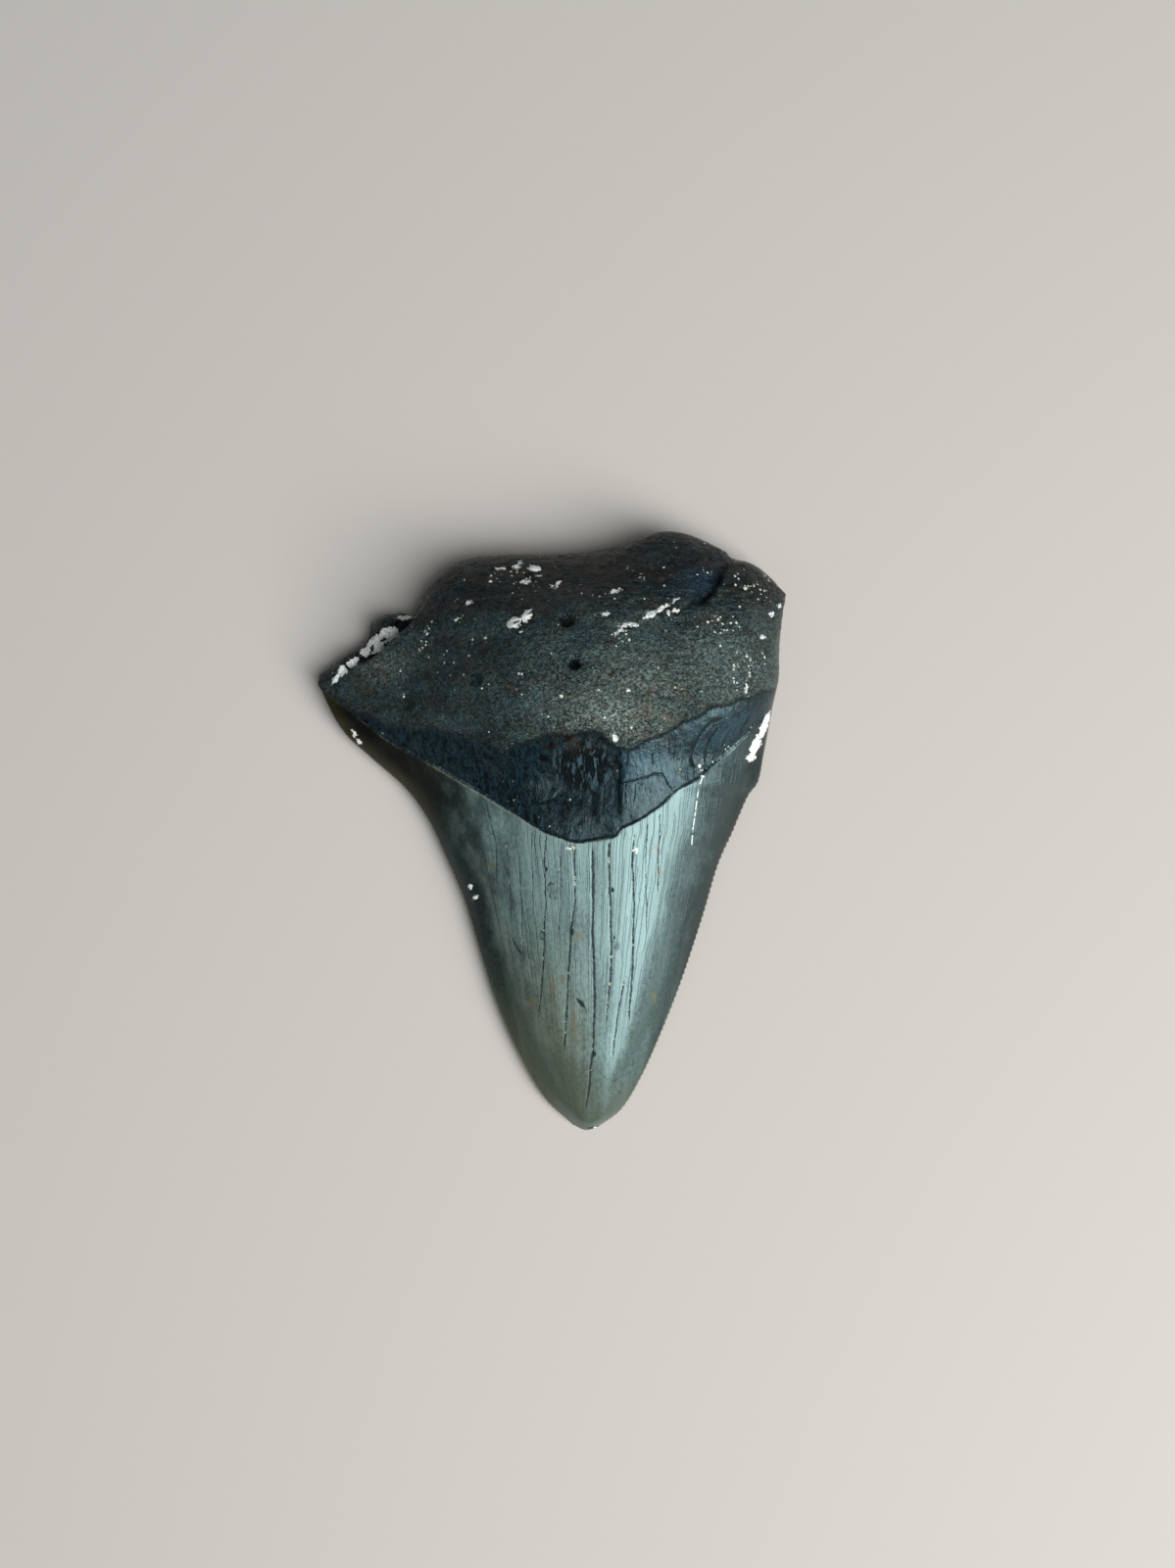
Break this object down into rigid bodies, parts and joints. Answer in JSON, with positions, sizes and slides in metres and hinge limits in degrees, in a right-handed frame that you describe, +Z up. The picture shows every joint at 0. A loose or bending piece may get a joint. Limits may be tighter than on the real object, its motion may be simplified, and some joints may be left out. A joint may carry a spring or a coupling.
{
  "type": "megalodon tooth",
  "caption": "Fossil megalodon tooth lying on its labial face: thick dark root, bourlette, and a triangular grey enamel crown with finely serrated cutting edges.",
  "frame": {"origin": "centre of the tooth's box in plan, at the height of the table that it lies on", "axes": "+Y runs from the tip of the crown to the root, +Z up out of the lingual face, +X to the right seen from above"},
  "size_m": [0.0615, 0.0792, 0.0196],
  "materials": {
    "fossil_tooth": "satin"
  },
  "bodies": {
    "root": {"megalodon_tooth": "fossil_tooth"}
  },
  "joints": []
}
